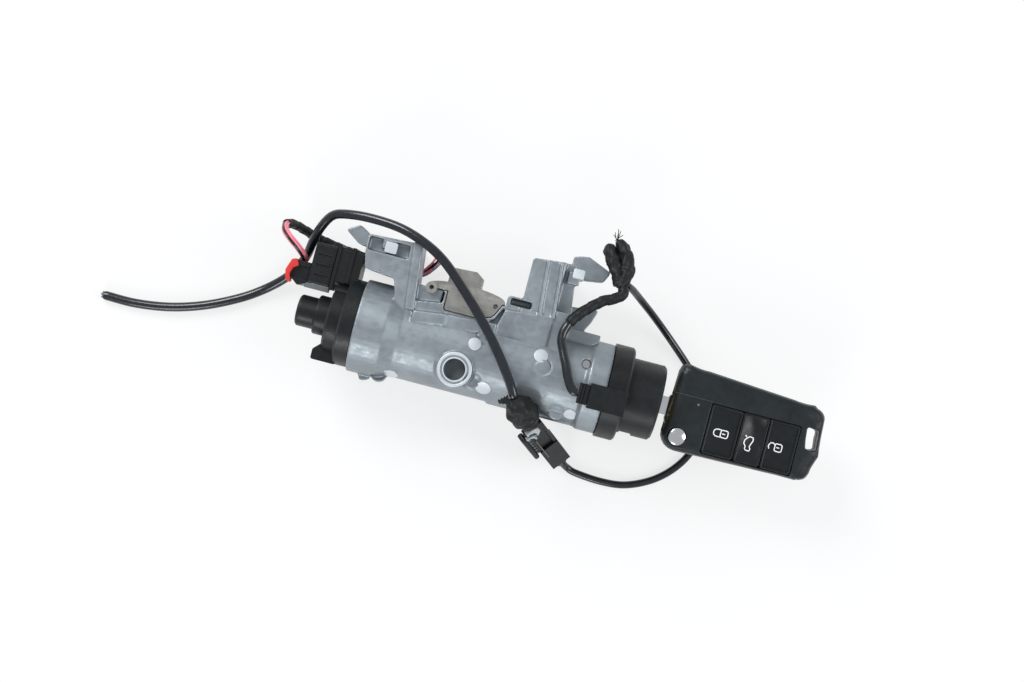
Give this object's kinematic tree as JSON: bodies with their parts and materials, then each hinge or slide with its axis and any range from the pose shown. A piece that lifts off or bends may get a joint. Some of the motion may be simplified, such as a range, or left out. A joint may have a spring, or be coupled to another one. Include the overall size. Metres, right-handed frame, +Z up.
{
  "type": "ignition switch with steering lock and flip key",
  "caption": "Steering lock with ignition switch, lock cylinder, reader coil ring, flip key and its cut wiring, lying on its back pads.",
  "frame": {"origin": "centre of the flat pad on the housing's back, right below the lock axis in the middle of the column gap", "axes": "+X along the lock axis towards the key, +Y across it towards the steering column, +Z up from the face it lies on"},
  "size_m": [0.363, 0.1192, 0.0593],
  "materials": {
    "cast_metal": "as die cast, satin",
    "steel": "bright zinc",
    "zinc_plate": "dull brownish grey",
    "brass": "machined",
    "copper_wire": "enamelled copper wire",
    "black_plastic": "moulded, satin",
    "fob_plastic": "fine grain, satin",
    "button_rubber": "soft touch",
    "red_plastic": "moulded",
    "lead_jacket": "glossy jacket",
    "cloth_tape": "wrapped tape",
    "circuit_board": "solder mask",
    "bright_metal": "polished nickel"
  },
  "bodies": {
    "lock": {"lock_housing": "cast_metal", "cylinder_sleeve": "brass", "sleeve_pin": "steel", "bolt_cover": "zinc_plate", "switch_body": "black_plastic", "switch_cap": "black_plastic", "switch_screw_1": "steel", "switch_screw_2": "steel", "reader_coil_case": "black_plastic", "coil_winding": "copper_wire", "coil_plug": "black_plastic", "main_plug": "black_plastic", "plug_wire_cover": "black_plastic", "bolt_spring": "steel", "taped_boot": "cloth_tape", "inline_socket": "black_plastic", "inline_plug": "black_plastic", "inline_latch": "bright_metal", "taped_splice": "cloth_tape", "main_lead": "lead_jacket", "loop_lead": "lead_jacket", "coil_lead": "lead_jacket", "taped_loom": "cloth_tape", "plug_loom": "cloth_tape"},
    "plug_slide": {"plug_lock": "red_plastic"},
    "bolt": {"lock_bolt": "zinc_plate"},
    "rotor": {"cylinder_core": "brass", "wafer_1": "brass", "wafer_2": "brass", "wafer_3": "brass", "wafer_4": "brass", "wafer_5": "brass", "wafer_6": "brass", "wafer_7": "brass", "wafer_8": "brass", "drive_shaft": "zinc_plate", "switch_rotor": "red_plastic"},
    "key": {"key_blade": "bright_metal", "blade_hub": "black_plastic"},
    "fob": {"fob_top_shell": "fob_plastic", "fob_bottom_shell": "fob_plastic", "button_mat": "button_rubber", "circuit_board": "circuit_board", "coin_cell": "bright_metal", "fold_spring": "steel"},
    "release": {"release_button": "bright_metal"},
    "lock_press": {"button_lock": "button_rubber"},
    "boot_press": {"button_boot": "button_rubber"},
    "unlock_press": {"button_unlock": "button_rubber"}
  },
  "joints": [
    {"name": "key_turn", "type": "hinge", "parent": "lock", "child": "rotor", "pos_m": [0, 0, 0.03], "axis": [-1, 0, 0], "range_deg": [0, 90]},
    {"name": "bolt_draw", "type": "slide", "parent": "lock", "child": "bolt", "axis": [0, -1, 0], "range_m": [0, 0.005], "deforming": ["bolt_spring"]},
    {"name": "plug_lock_slide", "type": "slide", "parent": "lock", "child": "plug_slide", "axis": [-1, 0, 0], "range_m": [0, 0.003]},
    {"name": "key_withdraw", "type": "slide", "parent": "rotor", "child": "key", "axis": [1, 0, 0], "range_m": [0, 0.05]},
    {"name": "key_fold", "type": "hinge", "parent": "key", "child": "fob", "pos_m": [0.1141, -0.0131, 0.03], "axis": [0, 0, -1], "range_deg": [0, 110], "deforming": ["fold_spring"]},
    {"name": "release_push", "type": "slide", "parent": "fob", "child": "release", "axis": [0, 0, -1], "range_m": [0, 0.002], "stiffness_N_per_m": 800, "springref_m": -0.001},
    {"name": "lock_push", "type": "slide", "parent": "fob", "child": "lock_press", "axis": [0, 0, -1], "range_m": [0, 0.0008], "stiffness_N_per_m": 600, "springref_m": -0.0005},
    {"name": "boot_push", "type": "slide", "parent": "fob", "child": "boot_press", "axis": [0, 0, -1], "range_m": [0, 0.0008], "stiffness_N_per_m": 600, "springref_m": -0.0005},
    {"name": "unlock_push", "type": "slide", "parent": "fob", "child": "unlock_press", "axis": [0, 0, -1], "range_m": [0, 0.0008], "stiffness_N_per_m": 600, "springref_m": -0.0005}
  ],
  "couplings": [
    {"joint": "key_turn", "follows": "bolt_draw", "rad_per_m": 314.1}
  ]
}
